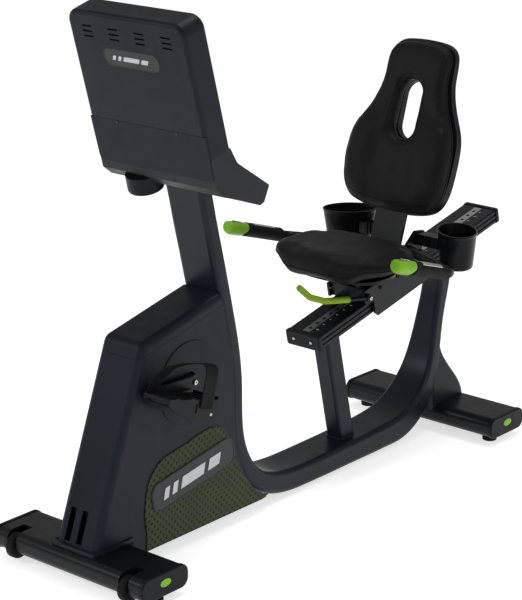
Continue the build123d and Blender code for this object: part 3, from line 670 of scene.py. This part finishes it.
# ---- cup holders --------------------------------------------------------------------
def cup(name, flip):
    def ellipse(a, b, z, shift):
        ring = []
        for k in range(72):
            t = 2 * math.pi * k / 72
            x, y = a * math.cos(t), b * math.sin(t)
            c = math.sqrt(0.5)
            ring.append((CUP_X + shift - c * x - c * y, CUP_Y - shift + c * x - c * y, z))
        return ring
    rings = []
    for inset, heights in ((0.0, (0.0, 0.015, 0.04, 0.12, 0.3, 0.5, 0.7, 0.88, 0.94, 0.955, 0.985, 1.0)),
                           (3.0, (1.0, 0.985, 0.9, 0.7, 0.5, 0.3, 0.12, 0.075, 0.06))):
        for h in heights:
            a, b = 60 + 19 * h - inset, 45 + 10 * h - inset
            if inset == 0 and h < 0.03:
                a, b = a - (0.03 - h) * 100, b - (0.03 - h) * 100
            if inset == 0 and h > 0.95:
                a, b = a + 1.2, b + 1.2
            if inset and h < 0.08:
                a, b = a - (0.08 - h) * 160, b - (0.08 - h) * 160
            rings.append(ellipse(a, b, CUP_TOP - CUP_H * (1 - h), 2 * (1 - h)))
    return rings_piece(name, rings, CUP, "carriage", "cup_plastic", flip @ WORLD, replaces=["cup_holders"])


both_sides(cup, "cup")


# ---- pedal straps and pedal detail --------------------------------------------------
def strap(name, place, body, node):
    """Moulded strap: a narrow band from the inner front of the platform over to its outer rear."""
    arch = resample([(93, 0, 2), (93.5, 0, 14), (100, 0, 48), (116, 0, 77), (138, 0, 92), (168, 0, 99),
                     (179, 0, 94), (184.3, 0, 76), (184.3, 0, 40), (184.3, 0, -14)], 34)
    rings = []
    for i, p in enumerate(arch):
        before, after = arch[max(0, i - 1)], arch[min(len(arch) - 1, i + 1)]
        along = (after - before).normalized()
        out = Vector((-along.z, 0, along.x))
        low = min(-34 + (p.x - 84) * 1.32, 84)
        high = min(8 + (p.x - 84) * 1.32, 131)
        ring = []
        for y, d in ((low, -0.9), (low, 0.9), (low + 1.6, 1.7), (low + 8, 1.7), (low + 9.5, 1.1),
                     (high - 9.5, 1.1), (high - 8, 1.7), (high - 1.6, 1.7), (high, 0.9), (high, -0.9),
                     (high - 1.6, -1.6), (low + 1.6, -1.6)):
            q = p + out * d
            ring.append((q.x, y, q.z))
        rings.append(ring)
    return rings_piece(name, rings, RUBBER, body, "strap_rubber", place @ PEDAL, replaces=[node], levels=1)


strap("pedal_strap_left", Matrix.Identity(4), "near_pedal", "strap_left")
strap("pedal_strap_right", FAR_SIDE, "far_pedal", "strap_right")
for side, place, body in (("left", Matrix.Identity(4), "near_pedal"), ("right", FAR_SIDE, "far_pedal")):
    for row, y in enumerate((22, 50, 78, 106)):
        for col in range(5):
            x = PEDAL_X0 + 20 + col * 11.2
            turned(f"tread_stud_{side}_{row}_{col}", [(9.5, 2.6), (11.2, 2.4), (12.0, 1.2)],
                   PEDAL_SKIN, body, "pedal_plastic", place @ facing(PEDAL, x, y + 7, 0),
                   axis="Z", sides=12)
    bolt(f"strap_pin_{side}", place @ facing(PEDAL, PEDAL_X1 - 3, 134, -28, (0, 90, 0)), 4.2, body)

# ---- console detail -----------------------------------------------------------------
for i in range(8):
    x = -112 + 32 * i
    turned(f"key_{i}", [(0.0, 12), (0.9, 12), (1.5, 11)], KEY_CAPS, "frame", "keys_plastic",
           facing(DECK, x, -8, 0) @ Matrix.Diagonal((1, 0.55, 1, 1)), axis="Z", sides=28)
for i in range(9):
    turned(f"small_key_{i}", [(0.0, 7), (0.8, 7), (1.3, 6.2)], KEY_CAPS, "frame", "keys_plastic",
           facing(DECK, -100 + 25 * i, 18, 0) @ Matrix.Diagonal((1, 0.7, 1, 1)), axis="Z", sides=20)


def pill(half_x, half_z, r, count=64):
    pts = []
    for k in range(count):
        a = 2 * math.pi * k / count
        cx = (half_x - r) * (1 if math.cos(a) > 0 else -1)
        cz = (half_z - r) * (1 if math.sin(a) > 0 else -1)
        pts.append((cx + r * math.cos(a), cz + r * math.sin(a)))
    return pts


def outline_bead(name, points, radius, mat, body, slot, at):
    return tube(name, resample(points, 120, True), radius, mat, body, slot, at, closed=True, sides=8)


def flat_bar(name, points, thick, mat, body, slot, at, lift=0.0):
    """A thin plate on local XY with a rounded-over top edge."""
    centre = sum((Vector((x, y, 0)) for x, y in points), Vector()) / len(points)
    rings = []
    for inset, z in ((0, 0.0), (0, thick * 0.6), (0.25, thick * 0.9), (0.7, thick)):
        rings.append([(x - (x - centre.x) * inset * 0.06, y - (y - centre.y) * inset * 0.06, z + lift)
                      for x, y in points])
    return rings_piece(name, rings, mat, body, slot, at)


# generic trim on the two badge plates: a row of plain slanted bars
PLATE = facing(CONSOLE, 0, 0.0, 238, (90, 0, 0))
outline_bead("console_plate_rim", [(x, y, -0.2) for x, y in pill(90.5, 21.5, 19.5)], 0.9, BADGE, "frame",
             "badge_plastic", PLATE)


def slanted(x, w, h, lean):
    return [(x - w / 2 - lean, -h / 2), (x + w / 2 - lean, -h / 2), (x + w / 2 + lean, h / 2),
            (x - w / 2 + lean, h / 2)]


for i, (x, w) in enumerate(((-56, 10), (-38, 10), (0, 52), (44, 22))):
    flat_bar(f"console_trim_{i}", slanted(x, w, 12, 2.5), 0.9, SILVER, "frame", "plate_silver", PLATE)


def side_trim(name, flip):
    lean = Matrix.Rotation(math.radians(10), 4, "Z")
    at = flip @ facing(WORLD, HOUSE_X + 4.5, -484, 192, (90, 0, 90)) @ lean
    out = [outline_bead(f"{name}_rim", [(x, y, 0) for x, y in pill(154, 38.5, 28)], 1.3, BADGE, "frame",
                        "badge_plastic", at)]
    for i, (x, w) in enumerate(((-104, 18), (-72, 18), (-4, 88), (78, 44))):
        out.append(flat_bar(f"{name}_bar_{i}", slanted(x, w, 30, 6), 1.2, SILVER, "frame",
                            "plate_silver", at))
    return out


both_sides(side_trim, "side_trim")

# ---- rail marks, screws, welds ------------------------------------------------------
for i in range(27):
    u = 26 + 30 * i
    flat_bar(f"scale_mark_{i}", [(20, u - 1.1), (20 + (9 if i % 5 == 0 else 5), u - 1.1),
                                 (20 + (9 if i % 5 == 0 else 5), u + 1.1), (20, u + 1.1)],
             0.35, WHITE, "frame", "plate_silver", RAIL)
for i, (x, u) in enumerate(((-30, -7), (30, -7))):
    bolt(f"rail_cap_screw_{i}", facing(RAIL, x, -14.2, -20, (90, 0, 0)), 4.0, "frame")
for side in (1, -1):
    tag = "left" if side > 0 else "right"
    for i, u in enumerate((262, 340, 418)):
        bolt(f"cheek_screw_{tag}_{i}", facing(RAIL, side * 67, u, 24, (0, side * 90, 0)), 6.0,
             "carriage", mat=BLACK)
    for i, (y, z) in enumerate(((430, 545), (470, 600))):
        bolt(f"mount_screw_{tag}_{i}", facing(WORLD, side * 60, y, z, (0, side * 90, 0)), 5.5,
             "carriage", mat=BLACK)
    bolt(f"crank_bolt_{tag}", facing(WORLD, side * 91, CRANK_Y, CRANK_Z, (0, side * 90, 0)), 6.5,
         "crank", 3.4)
bolt("lever_screw", facing(WORLD, 80, 234.66, 493.6, (0, 90, 0)), 5.5, "lever")
for x in (-30, 30):
    for z in (60, 130, 200):
        bolt(f"stem_screw_{'l' if x > 0 else 'r'}_{z}", facing(BACK, x, 2, z, (-90, 0, 0)), 4.5,
             "carriage", mat=BLACK)


def weld(name, points, radius, mat, closed=True):
    """A rippled bead where two tubes meet."""
    path = resample(points, 150, closed)
    sizes = [radius * (1 + 0.16 * math.sin(i * 1.9) + 0.06 * random.random()) for i in range(len(path))]
    return tube(name, path, sizes, mat, "frame", "mast_paint", closed=closed, sides=8)


def rounded(width, depth, radius, centre, tilt=0.0):
    pts = pill(width / 2, depth / 2, radius, 72)
    return [(x, centre[1] + y * math.cos(tilt), centre[2] + y * math.sin(tilt)) for x, y in pts]


post_lean = math.radians(RAIL_SLOPE)
weld("post_foot_weld", rounded(57, 60, 9, (0, 209, 79)), 2.4, PAINT)
weld("post_head_weld", rounded(57, 60, 9, (0, 136.5, 402.5), post_lean), 2.4, PAINT)

# ---- wheels -------------------------------------------------------------------------
for side, body in ((1, "left_wheel"), (-1, "right_wheel")):
    tag = "left" if side > 0 else "right"
    hub = [(-12.4, 6), (-12.4, 13), (-11.6, 14.5), (11.6, 14.5), (12.4, 13), (12.4, 6)]
    turned(f"wheel_hub_{tag}", hub, CAP, body, "wheel_rubber", facing(WORLD, side * 196, -852, 42),
           axis="X", sides=36)

# ---- floor, light, camera -----------------------------------------------------------
floor_mesh = bpy.data.meshes.new("floor")
floor_mesh.from_pydata([(-40, -40, 0), (40, -40, 0), (40, 40, 0), (-40, 40, 0)], [], [(0, 1, 2, 3)])
floor = bpy.data.objects.new("floor", floor_mesh)
bpy.context.scene.collection.objects.link(floor)
floor_mat, _, floor_shader, _ = nodes_of("pale_floor")
floor_shader.inputs["Base Color"].default_value = (0.90, 0.90, 0.90, 1)
floor_shader.inputs["Emission Color"].default_value = (1, 1, 1, 1)
floor_shader.inputs["Emission Strength"].default_value = FLOOR_GLOW
floor_shader.inputs["Roughness"].default_value = 0.9
floor_shader.inputs["Specular IOR Level"].default_value = 0.1
floor_mesh.materials.append(floor_mat)

world = bpy.data.worlds.new("studio")
bpy.context.scene.world = world
world.use_nodes = True
world.node_tree.nodes["Background"].inputs["Color"].default_value = (1, 1, 1, 1)
world.node_tree.nodes["Background"].inputs["Strength"].default_value = SKY_STRENGTH
bpy.context.scene.view_settings.view_transform = "Standard"


def soft_box(name, place, target, size, power):
    data = bpy.data.lights.new(name, "AREA")
    data.shape, data.size, data.energy = "SQUARE", size, power
    lamp = bpy.data.objects.new(name, data)
    bpy.context.scene.collection.objects.link(lamp)
    lamp.location = place
    lamp.rotation_euler = (Vector(target) - Vector(place)).to_track_quat("-Z", "Y").to_euler()


soft_box("key_light", (-2.6, -4.6, 3.2), (0, 0, 0.6), 1.4, 62)
soft_box("side_light", (4.6, 0.6, 2.6), (0, 0, 0.6), 1.0, 20)
soft_box("top_light", (0.2, 0.6, 4.6), (0, 0, 0.5), 1.6, 52)

camera_data = bpy.data.cameras.new("camera")
camera_data.lens, camera_data.sensor_width = LENS_MM, SENSOR_MM
camera = bpy.data.objects.new("camera", camera_data)
bpy.context.scene.collection.objects.link(camera)
camera.location = CAMERA_AT
camera.rotation_euler = Vector(CAMERA_LOOKS).to_track_quat("-Z", "Y").to_euler()
bpy.context.scene.camera = camera
